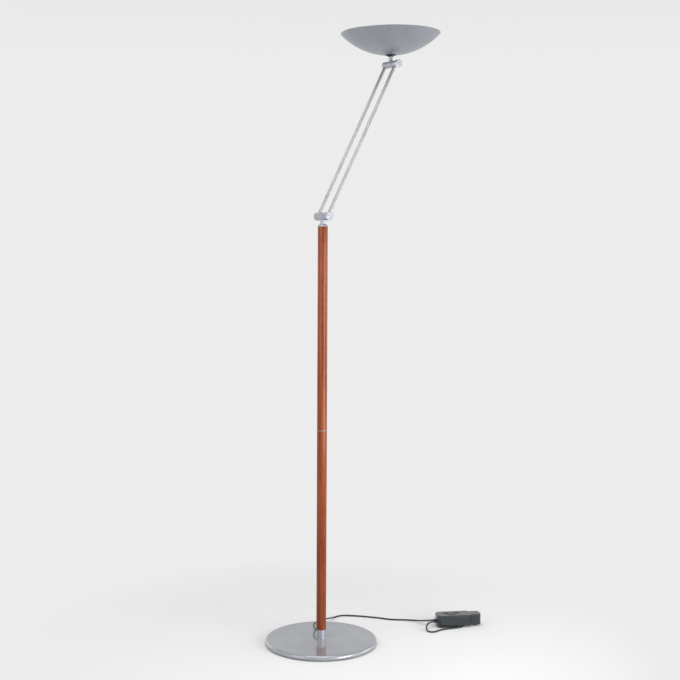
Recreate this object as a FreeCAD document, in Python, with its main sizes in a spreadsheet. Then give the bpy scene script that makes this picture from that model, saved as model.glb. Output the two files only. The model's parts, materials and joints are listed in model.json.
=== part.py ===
import FreeCAD, Part
import math
import os
import re
import Sketcher
from FreeCAD import Placement, Rotation, Vector

# Driving sizes, in millimetres and degrees
SIZES = {
    # clearances
    "fit_gap": 0.05,
    "body_gap": 0.3,
    # base
    "base_radius": 160,
    "base_height": 15,
    "cover_wall": 1.2,
    "cover_edge_radius": 8,
    "cover_low_radius": 4.5,
    "pad_height": 1.5,
    "pad_radius": 150,
    "recess_radius": 24,
    "recess_depth": 7,
    "clamp_washer_radius": 18,
    "clamp_washer_thickness": 1.5,
    "nut_flats": 15,
    "nut_height": 4.5,
    # conduit and pole
    "conduit_radius": 5,
    "conduit_bore_radius": 3,
    "conduit_foot": 2,
    "coupler_radius": 7,
    "coupler_length": 44,
    "coupler_middle_gap": 1,
    "ferrule_radius": 12.25,
    "ferrule_height": 26,
    "ferrule_spigot_radius": 8,
    "ferrule_spigot_height": 6,
    "pole_radius": 14,
    "pole_edge": 0.8,
    "lower_pole_length": 571.5,
    "upper_pole_length": 571.5,
    "joint_ring_height": 3,
    "joint_ring_radius": 14.2,
    "cap_height": 6,
    "cap_lip": 1.5,
    "cap_shoulder_radius": 8.8,
    "cap_dome_radius": 9,
    "cap_boss_radius": 9,
    "cap_boss_length": 17,
    "neck_rise": 22,
    "neck_radius": 7.2,
    "spigot_radius": 5,
    "spigot_length": 12,
    "spigot_bore_radius": 2.75,
    # cord exit
    "cord_radius": 2.25,
    "cord_lift": 0.1,
    "first_run": 14,
    "wire_elbow_radius": 2.6,
    "exit_height": 28.5,
    "exit_angle": 81,
    "grommet_radius": 3.6,
    "grommet_flange_radius": 4.6,
    "grommet_flange_length": 2.75,
    # barrels of both hinges
    "axle_radius": 4,
    "block_half": 14,
    "washer_thickness": 0.7,
    "collar_length": 13,
    "lower_barrel_radius": 11.3,
    "upper_barrel_radius": 9.8,
    "barrel_edge": 0.8,
    "rod_spread": 43,
    "rod_radius": 4.6,
    "rod_bore_radius": 2.7,
    "rod_inset": 6,
    "rod_wire_radius": 2,
    "arm_length": 505,
    "arm_lean": 29.1,
    "axle_head_radius": 9,
    "axle_head_length": 2,
    "axle_dome_height": 1.2,
    "axle_thread_length": 4,
    # knobs
    "lower_knob_radius": 11.5,
    "lower_knob_length": 7.5,
    "upper_knob_radius": 11.5,
    "upper_knob_length": 10,
    "knob_edge": 1,
    "flute_radius": 0.9,
    "flute_count": 16,
    # head
    "head_tilt": -1,
    "boss_radius": 7.4,
    "boss_height": 12,
    "stem_radius": 5.5,
    "stem_bore_radius": 2.75,
    "stem_seat": 5.5,
    "stem_spare": 1,
    "bowl_rise": 28,
    "bowl_radius": 143.5,
    "bowl_depth": 61.5,
    "bowl_wall": 1.2,
    "bowl_band": 2,
    "bowl_flat_radius": 16,
    "cup_height": 5.5,
    "cup_small_radius": 6.8,
    "cup_flare_radius": 30,
    "bowl_washer_radius": 11,
    "bowl_washer_thickness": 1.2,
    "sleeve_radius": 7,
    "sleeve_length": 13.6,
    "pan_wall": 0.8,
    "pan_floor_radius": 76,
    "pan_rim_radius": 89,
    "pan_throat_radius": 86,
    "pan_depth": 20.8,
    "bracket_width": 16,
    "bracket_wall": 1.2,
    "bracket_half": 74,
    "holder_inner": 56,
    "holder_length": 17,
    "holder_width": 14,
    "holder_height": 17,
    "holder_edge": 2,
    "lamp_height": 11.5,
    "lamp_radius": 5.5,
    "lamp_half": 46,
    "lamp_cap_radius": 3.6,
    "lamp_cap_end": 61.5,
    "glass_radius": 87.5,
    "glass_thickness": 3,
    "clip_width": 8,
    "clip_wall": 0.6,
    "clip_reach": 5,
    "clip_count": 3,
    # dimmer on the cord
    "dimmer_place_x": 366,
    "dimmer_place_y": -89,
    "dimmer_turn": -29.5,
    "dimmer_length": 135,
    "dimmer_half_width": 24,
    "dimmer_narrow_half": 17,
    "dimmer_neck": 98,
    "dimmer_neck_slope": 6,
    "dimmer_left_corner": 14,
    "dimmer_right_corner": 10,
    "dimmer_split": 11,
    "dimmer_top": 37,
    "dimmer_foot_length": 60,
    "dimmer_foot_cut": 5,
    "dimmer_tail_lift": 5.5,
    "dimmer_rest_radius": 5,
    "dimmer_rest_inset": 14,
    "dimmer_top_edge": 2.5,
    "dimmer_wall": 3,
    "relief_offset": 8,
    "relief_height": 16,
    "relief_inside": 14,
    "relief_outside": 8,
    "relief_big_radius": 4.2,
    "relief_small_radius": 2.9,
    "slider_centre": 46,
    "slider_travel": 28,
    "slider_length": 20,
    "slider_width": 18,
    "slider_height": 2.6,
    "slider_stem_width": 3.2,
    "slider_well_depth": 1.4,
    "slider_stem_length": 8,
    "slider_stem_drop": 6,
    "slider_edge": 1,
    "slider_groove_step": 4,
    "slider_groove_width": 1.2,
    "slider_groove_depth": 0.8,
    "slider_groove_count": 4,
    "board_thickness": 1.6,
    "board_gap": 1,
    # coil of the unseen lead, and its plug, placed from the dimmer's left end
    "coil_place_along": 95,
    "coil_place_behind": 58.5,
    "coil_outer_radius": 29.2,
    "coil_pitch": 4.95,
    "coil_start_angle": 30,
    "coil_quarter_turns": 21,
    "coil_lead_run": 18,
    "plug_relief_length": 20,
    "plug_relief_radius": 4.6,
    "plug_length": 35,
    "plug_taper": 11.5,
    "plug_half_width": 17.6,
    "plug_rear_half_width": 9,
    "plug_half_height": 7,
    "plug_edge": 2.5,
    "plug_pin_radius": 2,
    "plug_pin_length": 19,
    "plug_pin_half_spread": 9.3,
    "plug_pin_chamfer": 0.7,
}

# Share of the shorter run that each side of a cord's arc takes
ARC_SHARE = 0.45

doc = FreeCAD.newDocument("torchiere")
sheet = doc.addObject("Spreadsheet::Sheet", "Sizes")
for row, (alias, number) in enumerate(SIZES.items(), start=1):
    sheet.set("A%d" % row, alias)
    sheet.set("B%d" % row, str(number))
    sheet.setAlias("B%d" % row, alias)
doc.recompute()

nodes = []


def linked(text):
    """Turn every alias in an expression into a reference to its cell."""
    def cell(word):
        name = word.group(0)
        return "Sizes." + name if name in SIZES else name

    return re.sub(r"[a-z]\w*", cell, text)


def value(text):
    """Number that an expression gives with the sheet as it is."""
    return float(sheet.evalExpression(linked(text)))


# Levels up the lamp, as expressions
FERRULE_TOP = "(base_height + ferrule_height)"
RING_LOW = "(base_height + ferrule_height + lower_pole_length)"
RING_TOP = "(%s + joint_ring_height)" % RING_LOW
RING_MIDDLE = "(%s + joint_ring_height / 2)" % RING_LOW
POLE_TOP = "(%s + upper_pole_length)" % RING_TOP
CAP_TOP = "(%s + cap_height)" % POLE_TOP
PIVOT = "(%s + neck_rise)" % CAP_TOP

# Levels up the head, from the upper hinge
BOWL_FLOOR = "(bowl_rise + bowl_wall)"
BOWL_NUT_LOW = "(%s + bowl_washer_thickness)" % BOWL_FLOOR
SLEEVE_LOW = "(%s + nut_height)" % BOWL_NUT_LOW
PAN_LOW = "(%s + sleeve_length)" % SLEEVE_LOW
PAN_FLOOR = "(%s + pan_wall)" % PAN_LOW
BRACKET_TOP = "(%s + bracket_wall)" % PAN_FLOOR
STEM_TOP = "(%s + nut_height + stem_spare)" % BRACKET_TOP
LAMP_AXIS = "(%s + lamp_height)" % BRACKET_TOP
PAN_RIM = "(%s + pan_depth)" % PAN_LOW
GLASS_TOP = "(%s + glass_thickness)" % PAN_RIM

# Places of the washers and collars along a hinge axis
COLLAR_NEAR = "(block_half + washer_thickness + body_gap)"
COLLAR_FAR = "(%s + collar_length)" % COLLAR_NEAR

# Places on the dimmer's own axes, turned into the floor's frame
def on_floor(along, across):
    """Floor coordinates of a place given from the middle of the dimmer's left end."""
    return (
        "dimmer_place_x + (%s) * cos(dimmer_turn) - (%s) * sin(dimmer_turn)" % (along, across),
        "dimmer_place_y + (%s) * sin(dimmer_turn) + (%s) * cos(dimmer_turn)" % (along, across),
    )


COIL_LOW = "(cord_radius + cord_lift)"
COIL_HIGH = "(%s + coil_pitch)" % COIL_LOW
COIL_END = "(coil_start_angle + 90 * coil_quarter_turns)"
TAIL_ALONG = "coil_place_along + coil_outer_radius * cos({0}) - 2 * cord_radius * sin({0})".format(COIL_END)
TAIL_ACROSS = "coil_place_behind + coil_outer_radius * sin({0}) + 2 * cord_radius * cos({0})".format(COIL_END)

# Upper hinge and lamp axis in the floor's frame
HEAD_X = "arm_length * sin(arm_lean)"
HEAD_Z = PIVOT + " + arm_length * cos(arm_lean)"
LAMP_X = HEAD_X + " + %s * sin(head_tilt)" % LAMP_AXIS
LAMP_Z = HEAD_Z + " + %s * cos(head_tilt)" % LAMP_AXIS
UP = Vector(0, 0, 1)
HINGE = Vector(0, 1, 0)

# Frame of each group: base point, turning axis and turn
FRAMES = {
    "floor": (("0", "0", "0"), UP, "0"),
    "exit": (("0", "0", "0"), UP, "exit_angle"),
    "exit_hole": (("0", "0", "exit_height"), UP, "exit_angle"),
    "swivel": (("0", "0", PIVOT), HINGE, "0"),
    "arm": (("0", "0", PIVOT), HINGE, "arm_lean"),
    "arm_top": ((HEAD_X, "0", HEAD_Z), HINGE, "arm_lean"),
    "head": ((HEAD_X, "0", HEAD_Z), HINGE, "head_tilt"),
    "lamp": ((LAMP_X, "0", LAMP_Z), HINGE, "head_tilt"),
    "dimmer": (on_floor("0", "0") + ("0",), UP, "dimmer_turn"),
    "cord_relief": (on_floor("0", "relief_offset") + ("relief_height",), UP, "dimmer_turn"),
    "mains_relief": (on_floor("0", "-relief_offset") + ("relief_height",), UP, "dimmer_turn"),
    "plug": (on_floor(TAIL_ALONG, TAIL_ACROSS) + (COIL_HIGH,), UP, "dimmer_turn + %s + 90" % COIL_END),
}


def frame_placement(frame):
    """Placement of a frame with the sheet as it is."""
    base, axis, turn = FRAMES[frame]
    return Placement(Vector(*[value(part) for part in base]), Rotation(axis, value(turn)))


def place(piece, frame):
    """Bind a finished piece to its frame and keep it as a node."""
    base, axis, turn = FRAMES[frame]
    piece.Placement = Placement(Vector(0, 0, 0), Rotation(axis, 10))
    for part, text in zip("xyz", base):
        piece.setExpression("Placement.Base." + part, linked(text))
    piece.setExpression("Placement.Rotation.Angle", linked(turn))
    nodes.append(piece)
    return piece


def new_body(name):
    """Empty body whose label is the node's name."""
    body = doc.addObject("PartDesign::Body", name)
    body.Label = name
    return body


def origin_plane(body, role):
    """One of the body's own origin planes."""
    return [part for part in body.Origin.OriginFeatures if part.Role == role][0]


def new_sketch(body, plane, level="0"):
    """Sketch on an origin plane, lifted along its normal by an expression."""
    sketch = body.newObject("Sketcher::SketchObject", body.Name + "_sketch")
    sketch.AttachmentSupport = [(origin_plane(body, plane), "")]
    sketch.MapMode = "FlatFace"
    if level != "0":
        sketch.setExpression("AttachmentOffset.Base.z", linked(level))
    return sketch


def pin_point(sketch, edge, end, across, up):
    """Hold one end of an edge at a place given by two expressions."""
    if across == "0":
        sketch.addConstraint(Sketcher.Constraint("PointOnObject", edge, end, -2))
    else:
        number = sketch.addConstraint(Sketcher.Constraint("DistanceX", -1, 1, edge, end, value(across)))
        sketch.setExpression("Constraints[%d]" % number, linked(across))
    if up == "0":
        sketch.addConstraint(Sketcher.Constraint("PointOnObject", edge, end, -1))
    else:
        number = sketch.addConstraint(Sketcher.Constraint("DistanceY", -1, 1, edge, end, value(up)))
        sketch.setExpression("Constraints[%d]" % number, linked(up))


def arc_between(start, end, radius):
    """Arc of under a half circle; a positive radius turns left, a negative one right."""
    chord = end - start
    half = chord.Length / 2
    rise = math.sqrt(max(radius * radius - half * half, 0))
    side = Vector(-chord.y, chord.x, 0).normalize() * (rise if radius > 0 else -rise)
    centre = (start + end) / 2 + side
    first, last = (start, end) if radius > 0 else (end, start)
    angles = [math.atan2(point.y - centre.y, point.x - centre.x) for point in (first, last)]
    circle = Part.Circle(centre, Vector(0, 0, 1), abs(radius))
    return Part.ArcOfCircle(circle, angles[0], angles[1])


def outline(body, plane, steps, level="0"):
    """Closed sketch. A step is (across, up), or (across, up, radius, side) for an arc that ends there."""
    sketch = new_sketch(body, plane, level)
    ends = [Vector(value(step[0]), value(step[1]), 0) for step in steps]
    heads = []
    for number, step in enumerate(steps):
        start = ends[number - 1]
        if len(step) == 2:
            edge = sketch.addGeometry(Part.LineSegment(start, ends[number]), False)
            heads.append((edge, 1, 2))
            continue
        sign = 1 if step[3] == "left" else -1
        edge = sketch.addGeometry(arc_between(start, ends[number], sign * value(step[2])), False)
        heads.append((edge, 1, 2) if sign > 0 else (edge, 2, 1))
    for number, step in enumerate(steps):
        edge, tail, head = heads[number]
        following = heads[(number + 1) % len(steps)]
        sketch.addConstraint(Sketcher.Constraint("Coincident", edge, head, following[0], following[1]))
        pin_point(sketch, edge, head, step[0], step[1])
        if len(step) == 4:
            index = sketch.addConstraint(Sketcher.Constraint("Radius", edge, value(step[2])))
            sketch.setExpression("Constraints[%d]" % index, linked(step[2]))
    return sketch


def ring(body, plane, across, up, radius, level="0"):
    """Sketch of one circle."""
    sketch = new_sketch(body, plane, level)
    centre = Vector(value(across), value(up), 0)
    edge = sketch.addGeometry(Part.Circle(centre, Vector(0, 0, 1), value(radius)), False)
    pin_point(sketch, edge, 3, across, up)
    index = sketch.addConstraint(Sketcher.Constraint("Radius", edge, value(radius)))
    sketch.setExpression("Constraints[%d]" % index, linked(radius))
    return sketch


def revolve(body, sketch, axis):
    """Turn a sketch full circle about one of its own axes."""
    feature = body.newObject("PartDesign::Revolution", body.Name + "_turned")
    feature.Profile = sketch
    feature.ReferenceAxis = (sketch, [axis])
    feature.Angle = 360
    doc.recompute()
    return feature


def pad(body, sketch, length, both_ways=False):
    """Raise a sketch along its normal."""
    feature = body.newObject("PartDesign::Pad", body.Name + "_pad")
    feature.Profile = sketch
    feature.setExpression("Length", linked(length))
    feature.Midplane = both_ways
    doc.recompute()
    return feature


def pocket(body, sketch, length, along_normal=True, both_ways=False):
    """Cut a sketch out of the body, and make sure that it cuts."""
    before = body.Shape.Volume
    feature = body.newObject("PartDesign::Pocket", body.Name + "_cut")
    feature.Profile = sketch
    feature.setExpression("Length", linked(length))
    feature.Reversed = along_normal
    feature.Midplane = both_ways
    doc.recompute()
    if body.Shape.Volume > before - 1e-3:
        raise RuntimeError(body.Name + ": a pocket cuts nothing")
    return feature


def edges_where(body, test):
    """Names of the body's edges whose middle and bounds pass a test."""
    return ["Edge%d" % (i + 1) for i, edge in enumerate(body.Shape.Edges) if test(edge)]


def dress(body, kind, test, size):
    """Fillet or chamfer the edges that pass a test."""
    names = edges_where(body, test)
    tip = body.Tip
    feature = body.newObject("PartDesign::" + kind, body.Name + "_" + kind.lower())
    feature.Base = (tip, names)
    feature.setExpression("Radius" if kind == "Fillet" else "Size", linked(size))
    doc.recompute()
    return feature


def turned(name, frame, steps, along="z"):
    """Piece turned about the frame's X, Y or Z axis, from (radius, level) steps."""
    body = new_body(name)
    if along == "z":
        revolve(body, outline(body, "XZ_Plane", steps), "V_Axis")
    else:
        other = {"left": "right", "right": "left"}
        swapped = [(step[1], step[0]) + tuple(other.get(part, part) for part in step[2:]) for step in steps]
        revolve(body, outline(body, "YZ_Plane" if along == "y" else "XZ_Plane", swapped), "H_Axis")
    return place(body, frame)


def tube(name, frame, bore, radius, low, top):
    """Plain ring, disc or tube between two levels."""
    return turned(name, frame, [(bore, low), (radius, low), (radius, top), (bore, top)])


def mirrored_pair(name, frame, source):
    """One node of a piece and its mirror image across the arm's plane."""
    twin = doc.addObject("Part::Mirroring", name + "_twin")
    twin.Source = source
    twin.Normal = Vector(0, 1, 0)
    group = doc.addObject("Part::Compound", name)
    group.Links = [source, twin]
    group.Label = name
    doc.recompute()
    return place(group, frame)


def hexagon(flats):
    """Six corners of a nut with one corner on the first axis."""
    corner = "(%s / sqrt(3))" % flats
    half = "(%s / sqrt(3) / 2)" % flats
    side = "(%s / 2)" % flats
    return [
        (corner, "0"),
        (half, side),
        ("-" + half, side),
        ("-" + corner, "0"),
        ("-" + half, "-" + side),
        (half, "-" + side),
    ]


def nut(name, frame, bore, low):
    """Hexagon nut that stands on a level."""
    body = new_body(name)
    pad(body, outline(body, "XY_Plane", hexagon("nut_flats"), low), "nut_height")
    pocket(body, ring(body, "XY_Plane", "0", "0", bore, low), "nut_height")
    return place(body, frame)


# Base
def base():
    tube("base_pad", "floor", "0", "pad_radius", "0", "pad_height")

    inner = "(base_radius - cover_wall)"
    shoulder = "(base_radius - cover_edge_radius)"
    lip = "(base_radius - cover_low_radius)"
    bore = "(conduit_radius + fit_gap)"
    turned("base_cover", "floor", [
        (bore, "base_height - cover_wall"),
        (shoulder, "base_height - cover_wall"),
        (inner, "base_height - cover_edge_radius", "cover_edge_radius - cover_wall", "right"),
        (inner, "pad_height + cover_low_radius"),
        (lip, "pad_height + cover_wall", "cover_low_radius - cover_wall", "right"),
        (lip, "pad_height"),
        ("base_radius", "pad_height + cover_low_radius", "cover_low_radius", "left"),
        ("base_radius", "base_height - cover_edge_radius"),
        (shoulder, "base_height", "cover_edge_radius", "left"),
        (bore, "base_height"),
    ])

    weight_top = "(base_height - cover_wall - fit_gap)"
    turned("base_weight", "floor", [
        (bore, "pad_height + recess_depth"),
        ("recess_radius", "pad_height + recess_depth"),
        ("recess_radius", "pad_height"),
        (lip + " - body_gap", "pad_height"),
        (lip + " - body_gap", "pad_height + cover_wall + body_gap"),
        (inner + " - body_gap", "pad_height + cover_low_radius + body_gap"),
        (inner + " - body_gap", "base_height - cover_edge_radius - body_gap"),
        (shoulder + " - body_gap", weight_top),
        (bore, weight_top),
    ])
    seat = "(pad_height + recess_depth - clamp_washer_thickness)"
    tube("clamp_washer", "floor", bore, "clamp_washer_radius", seat, "pad_height + recess_depth")
    nut("clamp_nut", "floor", bore, seat + " - nut_height")


# Pole
def pole():
    bore = "(conduit_radius + body_gap)"
    fit = "(conduit_radius + fit_gap)"
    lower = tube("lower_conduit", "exit", "conduit_bore_radius", "conduit_radius", "conduit_foot",
                 RING_MIDDLE + " - coupler_middle_gap")
    window = ring(lower, "YZ_Plane", "0", "exit_height", "conduit_bore_radius")
    pocket(lower, window, "2 * conduit_radius")
    conduit_top = CAP_TOP + " - spigot_length - body_gap"
    tube("upper_conduit", "floor", "conduit_bore_radius", "conduit_radius",
         RING_MIDDLE + " + coupler_middle_gap", conduit_top)
    tube("conduit_coupler", "floor", fit, "coupler_radius", RING_MIDDLE + " - coupler_length / 2",
         RING_MIDDLE + " + coupler_length / 2")

    ferrule = turned("ferrule", "exit", [
        (fit, "base_height"),
        ("ferrule_radius", "base_height"),
        ("ferrule_radius", FERRULE_TOP + " - pole_edge"),
        ("ferrule_radius - pole_edge", FERRULE_TOP),
        ("ferrule_spigot_radius", FERRULE_TOP),
        ("ferrule_spigot_radius", FERRULE_TOP + " + ferrule_spigot_height"),
        (fit, FERRULE_TOP + " + ferrule_spigot_height"),
    ])
    hole = ring(ferrule, "YZ_Plane", "0", "exit_height", "grommet_radius + fit_gap")
    pocket(ferrule, hole, "2 * ferrule_radius")

    foot_seat = "(ferrule_spigot_radius + fit_gap)"
    foot_depth = "(%s + ferrule_spigot_height + body_gap)" % FERRULE_TOP
    coupler_seat = "(coupler_radius + fit_gap)"
    reach = "(coupler_length / 2 + body_gap)"
    turned("lower_pole", "floor", [
        (foot_seat, FERRULE_TOP),
        ("pole_radius - pole_edge", FERRULE_TOP),
        ("pole_radius", FERRULE_TOP + " + pole_edge"),
        ("pole_radius", RING_LOW + " - pole_edge"),
        ("pole_radius - pole_edge", RING_LOW),
        (coupler_seat, RING_LOW),
        (coupler_seat, "%s - %s" % (RING_MIDDLE, reach)),
        (bore, "%s - %s" % (RING_MIDDLE, reach)),
        (bore, foot_depth),
        (foot_seat, foot_depth),
    ])
    tube("joint_ring", "floor", coupler_seat, "joint_ring_radius", RING_LOW, RING_TOP)
    cap_seat = "(cap_boss_radius + fit_gap)"
    cap_depth = "(%s - cap_boss_length - body_gap)" % POLE_TOP
    turned("upper_pole", "floor", [
        (coupler_seat, RING_TOP),
        ("pole_radius - pole_edge", RING_TOP),
        ("pole_radius", RING_TOP + " + pole_edge"),
        ("pole_radius", POLE_TOP + " - pole_edge"),
        ("pole_radius - pole_edge", POLE_TOP),
        (cap_seat, POLE_TOP),
        (cap_seat, cap_depth),
        (bore, cap_depth),
        (bore, "%s + %s" % (RING_MIDDLE, reach)),
        (coupler_seat, "%s + %s" % (RING_MIDDLE, reach)),
    ])
    turned("pole_cap", "floor", [
        ("spigot_radius + fit_gap", POLE_TOP + " - cap_boss_length"),
        ("cap_boss_radius", POLE_TOP + " - cap_boss_length"),
        ("cap_boss_radius", POLE_TOP),
        ("pole_radius", POLE_TOP),
        ("pole_radius", POLE_TOP + " + cap_lip"),
        ("cap_shoulder_radius", CAP_TOP, "cap_dome_radius", "left"),
        ("spigot_radius + fit_gap", CAP_TOP),
    ])
    turned("cord_grommet", "exit_hole", [
        ("cord_radius + fit_gap", "conduit_radius + body_gap"),
        ("grommet_radius", "conduit_radius + body_gap"),
        ("grommet_radius", "ferrule_radius"),
        ("grommet_flange_radius", "ferrule_radius"),
        ("grommet_flange_radius", "ferrule_radius + grommet_flange_length / 2"),
        ("grommet_radius", "ferrule_radius + grommet_flange_length"),
        ("cord_radius + fit_gap", "ferrule_radius + grommet_flange_length"),
    ], along="x")
    wire = doc.addObject("Part::Feature", "pole_wire")
    elbow = value("wire_elbow_radius")
    level = value("exit_height")
    start = Vector(value("ferrule_radius + grommet_flange_length"), 0, level)
    bend = Part.Arc(
        Vector(elbow, 0, level),
        Vector(elbow - elbow * math.sin(math.pi / 4), 0, level + elbow - elbow * math.cos(math.pi / 4)),
        Vector(0, 0, level + elbow),
    )
    top = Vector(0, 0, value(conduit_top))
    path = Part.Wire([
        Part.LineSegment(start, Vector(elbow, 0, level)).toShape(),
        bend.toShape(),
        Part.LineSegment(Vector(0, 0, level + elbow), top).toShape(),
    ])
    wire.Shape = sweep_round(path, value("cord_radius"))
    wire.Label = "pole_wire"
    place(wire, "exit")


def sweep_round(path, radius):
    """Solid round tube along a wire, checked against its section times its length."""
    first = path.Edges[0]
    start = first.valueAt(first.FirstParameter)
    tangent = first.tangentAt(first.FirstParameter)
    section = Part.Wire([Part.Circle(start, tangent, radius).toShape()])
    shape = path.makePipeShell([section], True, False)
    if shape.Volume < 0:
        shape.reverse()
    share = shape.Volume / (math.pi * radius * radius * path.Length)
    if abs(share - 1) > 0.01:
        raise RuntimeError("a tube's volume is %.3f of its section times its length" % share)
    return Part.Solid(shape.Shells[0]) if shape.ShapeType != "Solid" else shape


# Hinges
def collar(name, frame, side, barrel, rod_up):
    """Ring that ends a barrel and holds one rod in a radial socket."""
    near = side + COLLAR_NEAR
    far = side + COLLAR_FAR
    inward = " - " if side else " + "
    body = new_body(name)
    steps = [
        (near, "axle_radius + fit_gap"),
        (near, barrel + " - barrel_edge"),
        (near + inward + "barrel_edge", barrel) if not side else (near + " - barrel_edge", barrel),
        (far + " - barrel_edge", barrel) if not side else (far + " + barrel_edge", barrel),
        (far, barrel + " - barrel_edge"),
        (far, "axle_radius + fit_gap"),
    ]
    revolve(body, outline(body, "YZ_Plane", steps), "H_Axis")
    level = "rod_inset - fit_gap" if rod_up else "-(rod_inset - fit_gap)"
    socket = ring(body, "XY_Plane", "0", side + "(rod_spread / 2)", "rod_radius + fit_gap", level)
    pocket(body, socket, barrel, along_normal=rod_up)
    return place(body, frame)


def axle(name, frame):
    """Bolt with a domed head at the back and a thread for the knob in front."""
    return turned(name, frame, [
        ("0", "-(%s + body_gap + axle_thread_length)" % COLLAR_FAR),
        ("axle_radius", "-(%s + body_gap + axle_thread_length)" % COLLAR_FAR),
        ("axle_radius", COLLAR_FAR),
        ("axle_head_radius", COLLAR_FAR),
        ("axle_head_radius", "%s + axle_head_length - axle_dome_height" % COLLAR_FAR),
        ("0", "%s + axle_head_length" % COLLAR_FAR,
         "(axle_head_radius^2 + axle_dome_height^2) / (2 * axle_dome_height)", "left"),
    ], along="y")


def knob(name, frame, radius, length):
    """Round clamp knob with a blind thread and a fluted rim."""
    face = "-(%s + body_gap)" % COLLAR_FAR
    end = "-(%s + body_gap + %s)" % (COLLAR_FAR, length)
    depth = "-(%s + 2 * body_gap + axle_thread_length)" % COLLAR_FAR
    bore = "axle_radius + fit_gap"
    body = new_body(name)
    steps = [
        (face, bore),
        (depth, bore),
        (depth, "0"),
        (end, "0"),
        (end, radius + " - knob_edge"),
        (end + " + knob_edge", radius, "knob_edge", "right"),
        (face + " - knob_edge", radius),
        (face, radius + " - knob_edge", "knob_edge", "right"),
    ]
    revolve(body, outline(body, "YZ_Plane", steps), "H_Axis")
    flute = ring(body, "XZ_Plane", radius + " + flute_radius / 2", "0", "flute_radius",
                 "%s + body_gap" % COLLAR_FAR)
    cut = pocket(body, flute, length)
    pattern = body.newObject("PartDesign::PolarPattern", name + "_flutes")
    pattern.Originals = [cut]
    pattern.Axis = (flute, ["N_Axis"])
    pattern.Angle = 360
    pattern.setExpression("Occurrences", linked("flute_count"))
    body.Tip = pattern
    doc.recompute()
    return place(body, frame)


def friction_washers(name, frame, barrel):
    """Two thin rings, one on each side of a hinge block."""
    body = new_body(name + "_one")
    low = "block_half"
    top = "block_half + washer_thickness"
    steps = [(low, "axle_radius + fit_gap"), (low, barrel + " - barrel_edge"),
             (top, barrel + " - barrel_edge"), (top, "axle_radius + fit_gap")]
    revolve(body, outline(body, "YZ_Plane", steps), "H_Axis")
    return mirrored_pair(name, frame, body)


def barrel_between(body, radius):
    """Middle part of a barrel, with softened ends, added to a block."""
    steps = [
        ("-block_half", "0"),
        ("-block_half", radius + " - barrel_edge"),
        ("-block_half + barrel_edge", radius),
        ("block_half - barrel_edge", radius),
        ("block_half", radius + " - barrel_edge"),
        ("block_half", "0"),
    ]
    revolve(body, outline(body, "YZ_Plane", steps), "H_Axis")
    bore = ring(body, "XZ_Plane", "0", "0", "axle_radius + fit_gap")
    pocket(body, bore, "4 * block_half", both_ways=True)


def swivel():
    body = new_body("pivot_block")
    seat = "-neck_rise + fit_gap"
    revolve(body, outline(body, "XZ_Plane", [
        ("0", "-(neck_rise + spigot_length)"),
        ("spigot_radius", "-(neck_rise + spigot_length)"),
        ("spigot_radius", seat),
        ("neck_radius + barrel_edge", seat),
        ("neck_radius + barrel_edge", seat + " + 2 * barrel_edge"),
        ("neck_radius", seat + " + 3 * barrel_edge"),
        ("neck_radius", "-axle_radius"),
        ("0", "-axle_radius"),
    ]), "V_Axis")
    barrel_between(body, "lower_barrel_radius")
    bore = ring(body, "XY_Plane", "0", "0", "spigot_bore_radius", "-(neck_rise + spigot_length)")
    pocket(body, bore, "neck_rise + spigot_length")
    place(body, "swivel")
    friction_washers("lower_friction_washers", "swivel", "lower_barrel_radius")


def arm():
    for side, word in (("-", "front"), ("", "back")):
        collar("%s_lower_collar" % word, "arm", side, "lower_barrel_radius", True)
        collar("%s_upper_collar" % word, "arm_top", side, "upper_barrel_radius", False)
        rod = new_body(word + "_rod")
        middle = side + "(rod_spread / 2)"
        pad(rod, ring(rod, "XY_Plane", "0", middle, "rod_radius", "rod_inset"), "arm_length - 2 * rod_inset")
        bore = ring(rod, "XY_Plane", "0", middle, "rod_bore_radius", "rod_inset")
        pocket(rod, bore, "arm_length - 2 * rod_inset")
        place(rod, "arm")
    wire = new_body("rod_wire_one")
    section = ring(wire, "XY_Plane", "0", "rod_spread / 2", "rod_wire_radius", "rod_inset")
    pad(wire, section, "arm_length - 2 * rod_inset")
    mirrored_pair("rod_wires", "arm", wire)
    axle("lower_axle", "arm")
    axle("upper_axle", "arm_top")
    knob("lower_knob", "arm", "lower_knob_radius", "lower_knob_length")
    knob("upper_knob", "arm_top", "upper_knob_radius", "upper_knob_length")


# Head
def head_joint():
    body = new_body("head_block")
    revolve(body, outline(body, "XZ_Plane", [
        ("0", "axle_radius"),
        ("boss_radius", "axle_radius"),
        ("boss_radius", "boss_height - barrel_edge"),
        ("boss_radius - barrel_edge", "boss_height"),
        ("0", "boss_height"),
    ]), "V_Axis")
    barrel_between(body, "upper_barrel_radius")
    pocket(body, ring(body, "XY_Plane", "0", "0", "stem_radius + fit_gap", "stem_seat"), "boss_height")
    pocket(body, ring(body, "XY_Plane", "0", "0", "stem_bore_radius"), "boss_height")
    place(body, "head")
    friction_washers("upper_friction_washers", "head", "upper_barrel_radius")
    tube("stem", "head", "stem_bore_radius", "stem_radius", "stem_seat", STEM_TOP)


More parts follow.
